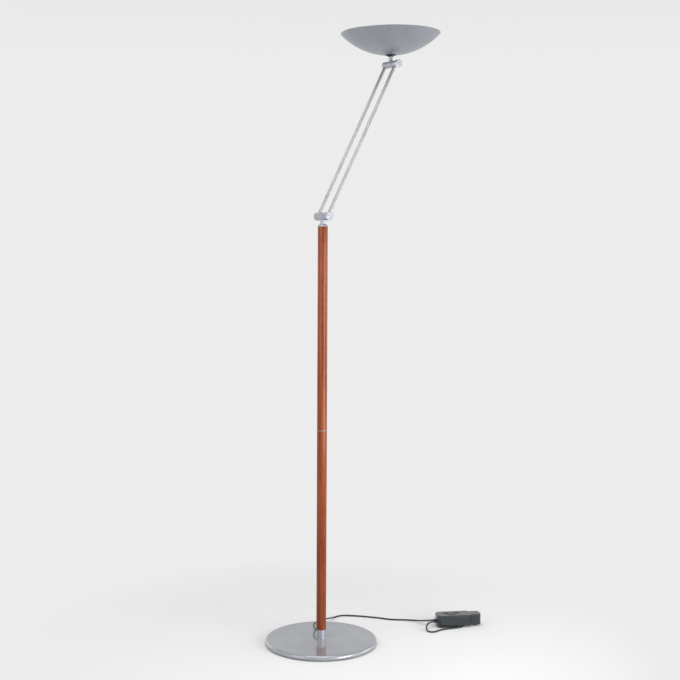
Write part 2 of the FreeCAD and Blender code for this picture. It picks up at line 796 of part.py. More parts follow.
def bowl():
    bore = "(stem_radius + fit_gap)"
    cup_edge = "(bowl_flat_radius - body_gap)"
    turned("seat_cup", "head", [
        (bore, "bowl_rise - cup_height"),
        ("cup_small_radius", "bowl_rise - cup_height"),
        (cup_edge, "bowl_rise - 2 * barrel_edge", "cup_flare_radius", "right"),
        (cup_edge, "bowl_rise"),
        (bore, "bowl_rise"),
    ])
    shell_depth = "(bowl_depth - bowl_band)"
    centre = "((bowl_radius^2 + %s^2 - bowl_flat_radius^2) / (2 * %s))" % (shell_depth, shell_depth)
    outer = "sqrt(bowl_flat_radius^2 + %s^2)" % centre
    inner = "(%s - bowl_wall)" % outer
    lip = "(bowl_radius - bowl_wall)"
    turned("bowl_shell", "head", [
        (bore, "bowl_rise"),
        ("bowl_flat_radius", "bowl_rise"),
        ("bowl_radius", "bowl_rise + " + shell_depth, outer, "left"),
        ("bowl_radius", "bowl_rise + bowl_depth"),
        (lip, "bowl_rise + bowl_depth"),
        (lip, "bowl_rise + %s - sqrt(%s^2 - %s^2)" % (centre, inner, lip)),
        ("sqrt(%s^2 - (%s - bowl_wall)^2)" % (inner, centre), BOWL_FLOOR, inner, "right"),
        (bore, BOWL_FLOOR),
    ])
    tube("bowl_washer", "head", bore, "bowl_washer_radius", BOWL_FLOOR, BOWL_NUT_LOW)
    nut("bowl_nut", "head", bore, BOWL_NUT_LOW)


def lamp():
    bore = "(stem_radius + fit_gap)"
    tube("carrier_sleeve", "head", bore, "sleeve_radius", SLEEVE_LOW, PAN_LOW)
    turned("reflector_pan", "head", [
        (bore, PAN_LOW),
        ("pan_floor_radius", PAN_LOW),
        ("pan_throat_radius", PAN_RIM + " - pan_wall"),
        ("pan_rim_radius", PAN_RIM + " - pan_wall"),
        ("pan_rim_radius", PAN_RIM),
        ("pan_throat_radius - pan_wall", PAN_RIM),
        ("pan_floor_radius - pan_wall", PAN_FLOOR),
        (bore, PAN_FLOOR),
    ])
    bracket = new_body("lamp_bracket")
    half = "(bracket_width / 2)"
    pad(bracket, outline(bracket, "XY_Plane", [
        (half, "-bracket_half"),
        (half, "bracket_half"),
        ("-" + half, "bracket_half"),
        ("-" + half, "-bracket_half"),
    ], PAN_FLOOR), "bracket_wall")
    pocket(bracket, ring(bracket, "XY_Plane", "0", "0", bore, PAN_FLOOR), "bracket_wall")
    place(bracket, "head")
    nut("bracket_nut", "head", bore, BRACKET_TOP)

    holder = new_body("lampholder_one")
    half = "(holder_width / 2)"
    pad(holder, outline(holder, "XY_Plane", [
        (half, "holder_inner"),
        (half, "holder_inner + holder_length"),
        ("-" + half, "holder_inner + holder_length"),
        ("-" + half, "holder_inner"),
    ], BRACKET_TOP), "holder_height")
    roof = value(BRACKET_TOP + " + holder_height")
    dress(holder, "Chamfer", lambda edge: edge.BoundBox.ZMin > roof - 1e-3, "holder_edge")
    socket = ring(holder, "XZ_Plane", "0", LAMP_AXIS, "lamp_cap_radius + fit_gap", "-holder_inner")
    pocket(holder, socket, "lamp_cap_end - holder_inner + fit_gap", along_normal=False)
    mirrored_pair("lampholders", "head", holder)

    shoulder = "(lamp_radius - lamp_cap_radius)"
    turned("lamp_tube", "lamp", [
        ("0", "-lamp_half"),
        ("lamp_cap_radius", "-lamp_half"),
        ("lamp_radius", "-lamp_half + " + shoulder, shoulder, "left"),
        ("lamp_radius", "lamp_half - " + shoulder),
        ("lamp_cap_radius", "lamp_half", shoulder, "left"),
        ("0", "lamp_half"),
    ], along="y")
    cap = new_body("lamp_cap_one")
    revolve(cap, outline(cap, "YZ_Plane", [
        ("lamp_half", "0"),
        ("lamp_half", "lamp_cap_radius"),
        ("lamp_cap_end", "lamp_cap_radius"),
        ("lamp_cap_end", "0"),
    ]), "H_Axis")
    mirrored_pair("lamp_caps", "lamp", cap)

    tube("safety_glass", "head", "0", "glass_radius", PAN_RIM, GLASS_TOP)
    clips = new_body("glass_clips")
    clips.AllowCompound = True
    low = PAN_RIM + " - pan_wall"
    rim = "(pan_rim_radius + fit_gap)"
    section = outline(clips, "XZ_Plane", [
        ("pan_throat_radius + clip_wall", low + " - clip_wall"),
        (rim + " + clip_wall", low + " - clip_wall"),
        (rim + " + clip_wall", GLASS_TOP + " + clip_wall"),
        ("glass_radius - clip_reach", GLASS_TOP + " + clip_wall"),
        ("glass_radius - clip_reach", GLASS_TOP),
        (rim, GLASS_TOP),
        (rim, low),
        ("pan_throat_radius + clip_wall", low),
    ])
    clip = pad(clips, section, "clip_width", both_ways=True)
    pattern = clips.newObject("PartDesign::PolarPattern", "clip_ring")
    pattern.Originals = [clip]
    pattern.Axis = (section, ["V_Axis"])
    pattern.Angle = 360
    pattern.setExpression("Occurrences", linked("clip_count"))
    clips.Tip = pattern
    doc.recompute()
    place(clips, "head")


# Dimmer on the cord
def dimmer_outline(body, level):
    """Plan of the housing, narrower at its right end."""
    wide = "dimmer_half_width"
    slim = "dimmer_narrow_half"
    left = "dimmer_left_corner"
    right = "dimmer_right_corner"
    slope = "dimmer_neck + dimmer_neck_slope"
    return outline(body, "XY_Plane", [
        ("dimmer_neck", "-" + wide),
        (slope, "-" + slim),
        ("dimmer_length - " + right, "-" + slim),
        ("dimmer_length", "-(%s - %s)" % (slim, right), right, "left"),
        ("dimmer_length", "%s - %s" % (slim, right)),
        ("dimmer_length - " + right, slim, right, "left"),
        (slope, slim),
        ("dimmer_neck", wide),
        (left, wide),
        ("0", "%s - %s" % (wide, left), left, "left"),
        ("0", "-(%s - %s)" % (wide, left)),
        (left, "-" + wide, left, "left"),
    ], level)


def box_outline(body, low_x, high_x, half, level):
    """Rectangle that is even about the first axis."""
    return outline(body, "XY_Plane", [
        (low_x, "-(%s)" % half),
        (high_x, "-(%s)" % half),
        (high_x, half),
        (low_x, half),
    ], level)


def dimmer():
    base_part = new_body("dimmer_base")
    wide = "dimmer_half_width"
    left = "dimmer_left_corner"
    pad(base_part, outline(base_part, "XY_Plane", [
        ("dimmer_foot_length", "-" + wide),
        ("dimmer_foot_length", wide),
        (left, wide),
        ("0", "%s - %s" % (wide, left), left, "left"),
        ("0", "-(%s - %s)" % (wide, left)),
        (left, "-" + wide, left, "left"),
    ]), "dimmer_split")
    end_of_foot = value("dimmer_foot_length")
    dress(base_part, "Chamfer",
          lambda edge: edge.BoundBox.ZMax < 1e-3 and edge.BoundBox.XMin < end_of_foot - 1e-3,
          "dimmer_foot_cut")
    pad(base_part, dimmer_outline(base_part, "dimmer_tail_lift"), "dimmer_split - dimmer_tail_lift")
    rest = ring(base_part, "XY_Plane", "dimmer_length - dimmer_rest_inset", "0", "dimmer_rest_radius")
    pad(base_part, rest, "dimmer_tail_lift")
    well = "dimmer_narrow_half - dimmer_wall"
    step = "dimmer_foot_length - dimmer_wall"
    end = "dimmer_length - dimmer_right_corner"
    pocket(base_part, box_outline(base_part, "dimmer_foot_cut", step, well, "dimmer_wall"), "dimmer_split")
    tail_floor = "dimmer_tail_lift + dimmer_wall"
    pocket(base_part, box_outline(base_part, step, end, well, tail_floor), "dimmer_split")
    place(base_part, "dimmer")

    cover = new_body("dimmer_cover")
    pad(cover, dimmer_outline(cover, "dimmer_split"), "dimmer_top - dimmer_split")
    top = value("dimmer_top")
    dress(cover, "Fillet", lambda edge: edge.BoundBox.ZMin > top - 1e-3, "dimmer_top_edge")
    inside = box_outline(cover, "dimmer_wall", end, well, "dimmer_split")
    pocket(cover, inside, "dimmer_top - slider_well_depth - dimmer_wall - dimmer_split")
    reach = "(slider_length / 2 + slider_travel / 2 + fit_gap)"
    well_floor = "(dimmer_top - slider_well_depth)"
    trough = box_outline(cover, "slider_centre - " + reach, "slider_centre + " + reach,
                         "slider_width / 2 + body_gap", well_floor)
    pocket(cover, trough, "dimmer_top")
    reach = "(slider_stem_length / 2 + slider_travel / 2 + fit_gap)"
    slot = box_outline(cover, "slider_centre - " + reach, "slider_centre + " + reach,
                       "slider_stem_width / 2 + fit_gap", "dimmer_split")
    pocket(cover, slot, "dimmer_top")
    for side in ("-", ""):
        hole = ring(cover, "YZ_Plane", side + "relief_offset", "relief_height", "relief_big_radius + fit_gap")
        pocket(cover, hole, "2 * dimmer_wall")
    place(cover, "dimmer")

    slider = new_body("dimmer_slider")
    low = "slider_centre - slider_length / 2"
    high = "slider_centre + slider_length / 2"
    seat = "(%s + body_gap)" % well_floor
    pad(slider, box_outline(slider, low, high, "slider_width / 2", seat), "slider_height")
    low_stem = "slider_centre - slider_stem_length / 2"
    high_stem = "slider_centre + slider_stem_length / 2"
    stem = box_outline(slider, low_stem, high_stem, "slider_stem_width / 2", seat + " - slider_stem_drop")
    pad(slider, stem, "slider_stem_drop")
    top = value(seat + " + slider_height")
    dress(slider, "Fillet", lambda edge: edge.BoundBox.ZMin > top - 1e-3, "slider_edge")
    low_groove = low + " + slider_groove_step"
    high_groove = low_groove + " + slider_groove_width"
    groove_floor = seat + " + slider_height - slider_groove_depth"
    groove = box_outline(slider, low_groove, high_groove, "slider_width / 2 - 2 * slider_edge", groove_floor)
    cut = pocket(slider, groove, "slider_height")
    pattern = slider.newObject("PartDesign::LinearPattern", "slider_grooves")
    pattern.Originals = [cut]
    pattern.Direction = (groove, ["H_Axis"])
    pattern.setExpression("Length", linked("slider_groove_step * (slider_groove_count - 1)"))
    pattern.setExpression("Occurrences", linked("slider_groove_count"))
    slider.Tip = pattern
    doc.recompute()
    place(slider, "dimmer")

    board = new_body("circuit_board")
    plan = box_outline(board, "dimmer_foot_cut + board_gap", step + " - board_gap", well + " - board_gap",
                       "dimmer_wall + fit_gap")
    pad(board, plan, "board_thickness")
    place(board, "dimmer")

    for name in ("cord_relief", "mains_relief"):
        turned(name, name, [
            ("0", "-relief_outside"),
            ("relief_small_radius", "-relief_outside"),
            ("relief_big_radius", "0"),
            ("relief_big_radius", "relief_inside"),
            ("0", "relief_inside"),
        ], along="x")


# Free cords: routes are lists of points chosen by hand, ends come from the pieces they meet
LAMP_CORD_ROUTE = [
    (10, 44, 29),
    (20, 61, 29),
    (32, 77, 28.5),
    (48, 91, 27),
    (66, 102, 25),
    (87, 111, 22),
    (109, 123, 17.5),
    (133, 137, 12.5),
    (155, 149, 7),
    (176, 159, 2.8),
    (198, 163, 2.35),
    (214, 154, 2.35),
    (238, 128, 2.35),
    (262, 97, 2.35),
    (282, 66, 2.35),
    (294, 40, 2.35),
    (316, 20, 2.35),
    (338, -1, 2.35),
    (347, -26, 5),
    (344, -50, 11),
]
MAINS_LEAD_ROUTE = [
    (-33, -20, 11.5),
    (-39, -37, 5),
    (-37, -54, 2.35),
    (-21, -61, 2.35),
    (-5, -49, 2.35),
    (13, -39, 2.35),
    (32, -34, 2.35),
    (50, -32, 2.35),
    (68, -28, 2.35),
    (83, -14, 2.35),
    (97, 3, 2.35),
    (114, 20, 2.35),
    (129, 37, 2.35),
]


def route_wire(name, points):
    """Straight runs joined by tangent arcs, each as large as its two runs allow."""
    edges = []
    radii = []
    start = points[0]
    for before, corner, after in zip(points, points[1:], points[2:]):
        inward = (corner - before).normalize()
        outward = (after - corner).normalize()
        turn = inward.getAngle(outward)
        cut = ARC_SHARE * min((corner - before).Length, (after - corner).Length)
        radius = cut / math.tan(turn / 2)
        radii.append(radius)
        arc_in = corner - inward * cut
        arc_out = corner + outward * cut
        bisector = (outward - inward).normalize()
        middle = corner + bisector * (radius / math.cos(turn / 2) - radius)
        edges.append(Part.LineSegment(start, arc_in).toShape())
        edges.append(Part.Arc(arc_in, middle, arc_out).toShape())
        start = arc_out
    edges.append(Part.LineSegment(start, points[-1]).toShape())
    wire = Part.Wire(edges)
    print("%s: length %.1f, radii %s" % (name, wire.Length, ", ".join("%.0f" % radius for radius in radii)))
    return wire


def cord(name, points):
    """Free stretch of cord as a round tube."""
    piece = doc.addObject("Part::Feature", name)
    piece.Shape = sweep_round(route_wire(name, points), value("cord_radius"))
    piece.Label = name
    return place(piece, "floor")


def lamp_cord():
    exit_frame = frame_placement("exit_hole")
    first = value("ferrule_radius + grommet_flange_length")
    relief = frame_placement("cord_relief")
    last = value("relief_outside")
    run = value("first_run")
    points = [exit_frame.multVec(Vector(first, 0, 0)), exit_frame.multVec(Vector(first + run, 0, 0))]
    points += [Vector(*point) for point in LAMP_CORD_ROUTE]
    points += [relief.multVec(Vector(-last - run, 0, 0)), relief.multVec(Vector(-last, 0, 0))]
    cord("lamp_cord", points)


def coil_point(turn):
    """Place on the coil's line, on the dimmer's axes, after a turn in degrees."""
    middle = 45 * value("coil_quarter_turns")
    radius = value("coil_outer_radius") - value("coil_pitch") * (middle - abs(turn - middle)) / 360
    climb = min(max((turn - middle) / 180 + 0.5, 0), 1)
    level = value(COIL_LOW) + value("coil_pitch") * climb * climb * (3 - 2 * climb)
    angle = math.radians(value("coil_start_angle") + turn)
    return Vector(
        value("coil_place_along") + radius * math.cos(angle),
        value("coil_place_behind") + radius * math.sin(angle),
        level,
    )


def coil_tangent(turn):
    """Direction of the coil's line; its two ends are square to the radius."""
    last = 90 * value("coil_quarter_turns")
    angle = math.radians(value("coil_start_angle") + turn)
    if turn in (0, last):
        return Vector(-math.sin(angle), math.cos(angle), 0)
    step = 0.5
    return (coil_point(turn + step) - coil_point(turn - step)).normalize()


def arc_from(start, tangent, end):
    """Arc that leaves its start along a tangent and passes through its end."""
    chord = end - start
    aside = tangent - chord * (tangent.dot(chord) / chord.dot(chord))
    if aside.Length < 1e-6:
        return Part.LineSegment(start, end).toShape()
    angle = tangent.getAngle(chord)
    middle = (start + end) / 2 + aside.normalize() * (chord.Length / 2 * math.tan(angle / 2))
    return Part.Arc(start, middle, end).toShape()


def biarc(start, leaving, end, arriving):
    """Two arcs that share a tangent where they meet."""
    chord = end - start
    both = leaving + arriving
    spread = 2 * (1 - leaving.dot(arriving))
    along = chord.dot(both)
    reach = (-along + math.sqrt(along * along + spread * chord.dot(chord))) / spread
    meet = ((start + leaving * reach) + (end - arriving * reach)) / 2
    return [arc_from(start, leaving, meet), arc_from(end, arriving * -1, meet)]


def mains():
    relief = frame_placement("mains_relief")
    board = frame_placement("dimmer")
    last = value("relief_outside")
    run = value("first_run")
    straight = value("2 * cord_radius")
    start = coil_point(0) - coil_tangent(0) * straight
    points = [relief.multVec(Vector(-last, 0, 0)), relief.multVec(Vector(-last - run, 0, 0))]
    points += [board.multVec(Vector(*point)) for point in MAINS_LEAD_ROUTE]
    points += [board.multVec(start - coil_tangent(0) * value("coil_lead_run")), board.multVec(start)]
    cord("mains_lead", points)

    turns = [90 * number for number in range(int(value("coil_quarter_turns")) + 1)]
    edges = [Part.LineSegment(start, coil_point(0)).toShape()]
    for low, high in zip(turns, turns[1:]):
        edges += biarc(coil_point(low), coil_tangent(low), coil_point(high), coil_tangent(high))
    finish = coil_point(turns[-1]) + coil_tangent(turns[-1]) * straight
    edges.append(Part.LineSegment(coil_point(turns[-1]), finish).toShape())
    path = Part.Wire(Part.__sortEdges__(edges))
    coil = doc.addObject("Part::Feature", "mains_coil")
    coil.Shape = sweep_round(path, value("cord_radius"))
    coil.Label = "mains_coil"
    place(coil, "dimmer")
    print("mains_coil: length %.1f, least gap to itself %.2f" % (path.Length, least_self_gap(path)))


def least_self_gap(path):
    """Least clear distance between stretches of a wound cord that lie over a half turn apart."""
    step = 3
    points = path.discretize(int(path.Length / step))
    apart = int(math.pi * value("coil_outer_radius") / 2 / step)
    least = min(
        (points[i] - points[j]).Length
        for i in range(len(points))
        for j in range(i + apart, len(points))
    )
    return least - 2 * value("cord_radius")


def plug():
    turned("plug_relief", "plug", [
        ("0", "0"),
        ("relief_small_radius", "0"),
        ("plug_relief_radius", "plug_relief_length"),
        ("0", "plug_relief_length"),
    ], along="x")
    face = "(plug_relief_length + plug_length)"
    slope = "(plug_relief_length + plug_taper)"
    body = new_body("plug_body")
    pad(body, outline(body, "XY_Plane", [
        ("plug_relief_length", "-plug_rear_half_width"),
        (slope, "-plug_half_width"),
        (face, "-plug_half_width"),
        (face, "plug_half_width"),
        (slope, "plug_half_width"),
        ("plug_relief_length", "plug_rear_half_width"),
    ]), "2 * plug_half_height", both_ways=True)
    half = value("plug_half_height")
    dress(body, "Fillet", lambda edge: edge.BoundBox.ZMin > half - 1e-3 or edge.BoundBox.ZMax < 1e-3 - half,
          "plug_edge")
    place(body, "plug")
    pin = new_body("plug_pin_one")
    section = ring(pin, "YZ_Plane", "plug_pin_half_spread", "0", "plug_pin_radius", face)
    pad(pin, section, "plug_pin_length")
    tip = value(face + " + plug_pin_length")
    dress(pin, "Chamfer", lambda edge: edge.BoundBox.XMin > tip - 1e-3, "plug_pin_chamfer")
    mirrored_pair("plug_pins", "plug", pin)


def check_and_write():
    """Stop on any failed object, then write each node to its own file."""
    doc.recompute()
    for item in doc.Objects:
        if "Invalid" in item.State or "Error" in item.State:
            raise RuntimeError(item.Name + " failed: " + ", ".join(item.State))
    os.makedirs("parts", exist_ok=True)
    for piece in nodes:
        shape = piece.Shape
        if shape.isNull() or not shape.isValid() or not shape.Solids:
            raise RuntimeError(piece.Label + " has no valid solid")
        shape.exportStep("parts/%s.step" % piece.Label)
    print("%d nodes" % len(nodes))


base()
pole()
swivel()
arm()
head_joint()
bowl()
lamp()
dimmer()
lamp_cord()
mains()
plug()
check_and_write()
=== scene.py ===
import json
import math

import bmesh
import bpy
from mathutils import Matrix, Vector


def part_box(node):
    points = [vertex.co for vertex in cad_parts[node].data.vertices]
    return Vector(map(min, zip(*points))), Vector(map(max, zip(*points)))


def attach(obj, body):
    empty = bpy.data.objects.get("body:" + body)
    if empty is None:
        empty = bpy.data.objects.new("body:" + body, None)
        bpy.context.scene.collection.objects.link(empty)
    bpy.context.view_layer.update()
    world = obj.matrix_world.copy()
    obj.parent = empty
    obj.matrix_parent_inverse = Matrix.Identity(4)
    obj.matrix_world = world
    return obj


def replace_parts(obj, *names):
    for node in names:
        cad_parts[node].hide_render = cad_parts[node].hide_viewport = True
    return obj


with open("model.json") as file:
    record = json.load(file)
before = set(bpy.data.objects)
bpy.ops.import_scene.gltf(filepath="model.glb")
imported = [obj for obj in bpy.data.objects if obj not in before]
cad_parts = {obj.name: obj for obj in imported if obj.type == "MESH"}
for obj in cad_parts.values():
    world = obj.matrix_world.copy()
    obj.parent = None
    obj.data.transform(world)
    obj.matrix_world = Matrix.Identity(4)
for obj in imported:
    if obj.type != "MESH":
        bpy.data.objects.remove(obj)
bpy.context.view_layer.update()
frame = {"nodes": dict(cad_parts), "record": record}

# Camera, at the photograph's place and angle
CAMERA_PLACE = (-2.0488, -2.6445, 1.1185)
CAMERA_AZIMUTH = -38.615
CAMERA_PITCH = 4.252
CAMERA_ROLL = 0.294
CAMERA_LENS = 63.22
CAMERA_SENSOR = 36.0

# Cord: same sizes and route as the solids, in metres
CORD_RADIUS = 0.00225
CORD_LEVEL = 0.00235
FIRST_RUN = 0.014
EXIT_ANGLE = 81
EXIT_REACH = 0.015
EXIT_HEIGHT = 0.0285
DIMMER_PLACE = Vector((0.366, -0.089, 0.0))
DIMMER_TURN = math.radians(-29.5)
RELIEF_OFFSET = 0.008
RELIEF_HEIGHT = 0.016
RELIEF_OUTSIDE = 0.008
RELIEF_INSIDE = 0.014
RELIEF_BIG_RADIUS = 0.0042
RELIEF_SMALL_RADIUS = 0.0029
LAMP_CORD_ROUTE = [
    (0.01, 0.044, 0.029),
    (0.02, 0.061, 0.029),
    (0.032, 0.077, 0.0285),
    (0.048, 0.091, 0.027),
    (0.066, 0.102, 0.025),
    (0.087, 0.111, 0.022),
    (0.109, 0.123, 0.0175),
    (0.133, 0.137, 0.0125),
    (0.155, 0.149, 0.007),
    (0.176, 0.159, 0.0028),
    (0.198, 0.163, 0.00235),
    (0.214, 0.154, 0.00235),
    (0.238, 0.128, 0.00235),
    (0.262, 0.097, 0.00235),
    (0.282, 0.066, 0.00235),
    (0.294, 0.04, 0.00235),
    (0.316, 0.02, 0.00235),
    (0.338, -0.001, 0.00235),
    (0.347, -0.026, 0.005),
    (0.344, -0.05, 0.011),
]
MAINS_LEAD_ROUTE = [
    (-0.033, -0.02, 0.0115),
    (-0.039, -0.037, 0.005),
    (-0.037, -0.054, 0.00235),
    (-0.021, -0.061, 0.00235),
    (-0.005, -0.049, 0.00235),
    (0.013, -0.039, 0.00235),
    (0.032, -0.034, 0.00235),
    (0.05, -0.032, 0.00235),
    (0.068, -0.028, 0.00235),
    (0.083, -0.014, 0.00235),
    (0.097, 0.003, 0.00235),
    (0.114, 0.02, 0.00235),
    (0.129, 0.037, 0.00235),
]

# Coil of the lead that the photograph doesn't show, on the dimmer's axes
COIL_ALONG = 0.095
COIL_BEHIND = 0.0585
COIL_RADIUS = 0.0292
COIL_PITCH = 0.00495
COIL_START = 30
COIL_TURN = 1890
COIL_STEP = 22.5
COIL_LEAD_RUN = 0.018

# Plug
PLUG_RELIEF_LENGTH = 0.020
PLUG_RELIEF_RADIUS = 0.0046
PLUG_LENGTH = 0.035
PLUG_TAPER = 0.0115
PLUG_HALF_WIDTH = 0.0176
PLUG_REAR_HALF_WIDTH = 0.009
PLUG_HALF_HEIGHT = 0.007
PLUG_CORNER = 0.0022
PLUG_SQUARENESS = 0.45
PLUG_RIB_START = 0.012
PLUG_RIB_END = 0.030
PLUG_RIB_PITCH = 0.003
PLUG_RIB_DEPTH = 0.00035

# Ring grooves of the cord reliefs
BOOT_EDGE = 0.0004
GROOVE_SHARE = 0.42
GROOVE_SLOPE = 0.0002
GROOVE_DEPTH = 0.00045

# Filament of the halogen lamp
FILAMENT_RADIUS = 0.0007
FILAMENT_WIRE = 0.00018
FILAMENT_END = 0.008
FILAMENT_TURNS = 46

# Upper hinge and head
UPPER_HINGE = Vector((0.2456, 0.0, 1.6563))
HEAD_TILT = math.radians(-1)
ARM_LEAN = math.radians(29.1)

# Nodes whose finish isn't the one of their slot
OWN_FINISH = {"joint_ring": "ring_metal"}

# Studio
PALE = 0.84
AMBIENT = 0.5
FLOOR_HALF_SIZE = 9.0
FLOOR_DROP = 0.0003
FLOOR_LIT_TO = 0.5
FLOOR_PLAIN_FROM = 0.95
FLOOR_SPECKS = [(0.3, (0.79, 0.79, 0.79, 1)), (0.7, (0.82, 0.82, 0.82, 1))]
CEILING = (0.42, 0.42, 0.43, 1)
CEILING_START = 0.15
CEILING_FULL = 0.9


def srgb(red, green, blue):
    """Linear colour of a display colour given from 0 to 255."""
    def linear(part):
        share = part / 255
        return share / 12.92 if share <= 0.04045 else ((share + 0.055) / 1.055) ** 2.4

    return (linear(red), linear(green), linear(blue), 1.0)


def show(name, data):
    """New object of the scene that holds a mesh or curve."""
    made = bpy.data.objects.new(name, data)
    bpy.context.scene.collection.objects.link(made)
    return made


# Camera
def make_camera():
    data = bpy.data.cameras.new("camera")
    data.lens = CAMERA_LENS
    data.sensor_width = CAMERA_SENSOR
    data.dof.use_dof = False
    camera = show("camera", data)
    turn = Matrix.Rotation(math.radians(CAMERA_AZIMUTH), 4, "Z")
    tip = Matrix.Rotation(math.radians(90 - CAMERA_PITCH), 4, "X")
    roll = Matrix.Rotation(math.radians(CAMERA_ROLL), 4, "Z")
    camera.matrix_world = Matrix.Translation(CAMERA_PLACE) @ turn @ tip @ roll
    bpy.context.scene.camera = camera


# Shader helpers
def new_material(name, **sockets):
    """Material with one Principled shader whose sockets are set by name."""
    material = bpy.data.materials.new(name)
    material.use_nodes = True
    shader = material.node_tree.nodes["Principled BSDF"]
    for socket, value in sockets.items():
        shader.inputs[socket.replace("_", " ")].default_value = value
    return material, material.node_tree, shader


def place_on_piece(tree, stretch=(1, 1, 1), centre=(0, 0, 0), turn=(0, 0, 0)):
    """Coordinates of the piece itself, moved to a centre, turned and stretched."""
    place = tree.nodes.new("ShaderNodeTexCoord").outputs["Object"]
    move = tree.nodes.new("ShaderNodeVectorMath")
    move.operation = "SUBTRACT"
    move.inputs[1].default_value = centre
    tree.links.new(place, move.inputs[0])
    mapping = tree.nodes.new("ShaderNodeMapping")
    mapping.vector_type = "TEXTURE"
    mapping.inputs["Rotation"].default_value = turn
    tree.links.new(move.outputs[0], mapping.inputs["Vector"])
    scaled = tree.nodes.new("ShaderNodeVectorMath")
    scaled.operation = "MULTIPLY"
    scaled.inputs[1].default_value = stretch
    tree.links.new(mapping.outputs[0], scaled.inputs[0])
    return scaled.outputs[0]


def noise(tree, place, scale, detail=3.0, rough=0.55, distortion=0.0):
    """Noise from 0 to 1 with so many features per metre."""
    texture = tree.nodes.new("ShaderNodeTexNoise")
    texture.inputs["Scale"].default_value = scale
    texture.inputs["Detail"].default_value = detail
    texture.inputs["Roughness"].default_value = rough
    texture.inputs["Distortion"].default_value = distortion
    tree.links.new(place, texture.inputs["Vector"])
    return texture.outputs["Fac"]


def cells(tree, place, scale):
    """Distance to the nearest of so many cell centres per metre."""
    texture = tree.nodes.new("ShaderNodeTexVoronoi")
    texture.inputs["Scale"].default_value = scale
    tree.links.new(place, texture.inputs["Vector"])
    return texture.outputs["Distance"]


def rings(tree, place, scale, axis, distortion=0.0):
    """Fine rings about one axis, as a turning tool leaves them."""
    texture = tree.nodes.new("ShaderNodeTexWave")
    texture.wave_type = "RINGS"
    texture.rings_direction = axis
    texture.inputs["Scale"].default_value = scale
    texture.inputs["Distortion"].default_value = distortion
    texture.inputs["Detail"].default_value = 3.0
    tree.links.new(place, texture.inputs["Vector"])
    return texture.outputs["Fac"]


def spread(tree, source, low, high, start=0.0, end=1.0):
    """A value from start to end turned into one from low to high."""
    span = tree.nodes.new("ShaderNodeMapRange")
    span.inputs["From Min"].default_value = start
    span.inputs["From Max"].default_value = end
    span.inputs["To Min"].default_value = low
    span.inputs["To Max"].default_value = high
    tree.links.new(source, span.inputs["Value"])
    return span.outputs["Result"]


def colours(tree, source, stops):
    """Colours along a value, from (position, colour) stops."""
    ramp = tree.nodes.new("ShaderNodeValToRGB")
    band = ramp.color_ramp
    while len(band.elements) < len(stops):
        band.elements.new(0.5)
    for element, (position, colour) in zip(band.elements, stops):
        element.position = position
        element.color = colour
    tree.links.new(source, ramp.inputs["Fac"])
    return ramp.outputs["Color"]


def multiply_colours(tree, first, second):
    """One colour multiplied by another."""
    mix = tree.nodes.new("ShaderNodeMix")
    mix.data_type = "RGBA"
    mix.blend_type = "MULTIPLY"
    mix.inputs[0].default_value = 1.0
    tree.links.new(first, mix.inputs[6])
    tree.links.new(second, mix.inputs[7])
    return mix.outputs[2]


def combine(tree, operation, first, second):
    """Two values joined by one operation, such as a product."""
    node = tree.nodes.new("ShaderNodeMath")
    node.operation = operation
    tree.links.new(first, node.inputs[0])
    tree.links.new(second, node.inputs[1])
    return node.outputs[0]


def blend_shaders(tree, share, first, second):
    """Second shader over the first by a share."""
    mix = tree.nodes.new("ShaderNodeMixShader")
    tree.links.new(share, mix.inputs[0])
    tree.links.new(first, mix.inputs[1])
    tree.links.new(second, mix.inputs[2])
    return mix.outputs[0]


def relief(tree, shader, height, depth, strength=1.0, below=None):
    """Bump of so many metres on a shader, over another bump if one is given."""
    bump = tree.nodes.new("ShaderNodeBump")
    bump.inputs["Distance"].default_value = depth
    bump.inputs["Strength"].default_value = strength
    tree.links.new(height, bump.inputs["Height"])
    if below is not None:
        tree.links.new(below, bump.inputs["Normal"])
    tree.links.new(bump.outputs["Normal"], shader.inputs["Normal"])
    return bump.outputs["Normal"]


# Finishes, one function each
def metal(name, dark, light, rough, lines=(1, 1, 1), turn=(0, 0, 0), depth=4e-6):
    """Bare metal with fine tool lines, faint clouding and rubbed spots."""
    material, tree, shader = new_material(name, Metallic=1.0)
    across = place_on_piece(tree, lines, turn=turn)
    plain = place_on_piece(tree)
    scratch = noise(tree, across, 900, 4.0, 0.6)
    cloud = noise(tree, plain, 28, 3.0)
    tree.links.new(colours(tree, cloud, [(0.3, dark), (0.7, light)]), shader.inputs["Base Color"])
    worn = spread(tree, cloud, rough * 0.85, rough * 1.2)
    drawn = combine(tree, "MULTIPLY", worn, spread(tree, scratch, 0.85, 1.15))
    tree.links.new(drawn, shader.inputs["Roughness"])
    relief(tree, shader, scratch, depth)
    return material


def base_lacquer():
    """Silver lacquer whose fine flakes scatter light, under a clear coat that mirrors."""
    material, tree, shader = new_material(
        "base_lacquer", Metallic=0.55, Coat_Weight=1.0, Coat_Roughness=0.06, Coat_IOR=1.8
    )
    plain = place_on_piece(tree)
    flakes = noise(tree, plain, 5200, 2.0)
    cloud = noise(tree, plain, 14, 3.0)
    fine = colours(tree, flakes, [(0.35, srgb(148, 151, 157)), (0.7, srgb(170, 173, 179))])
    broad = colours(tree, cloud, [(0.3, srgb(232, 232, 236)), (0.7, srgb(255, 255, 255))])
    tree.links.new(multiply_colours(tree, fine, broad), shader.inputs["Base Color"])
    tree.links.new(spread(tree, cloud, 0.46, 0.54), shader.inputs["Roughness"])
    relief(tree, shader, noise(tree, plain, 420, 2.0), 6e-6)
    return material


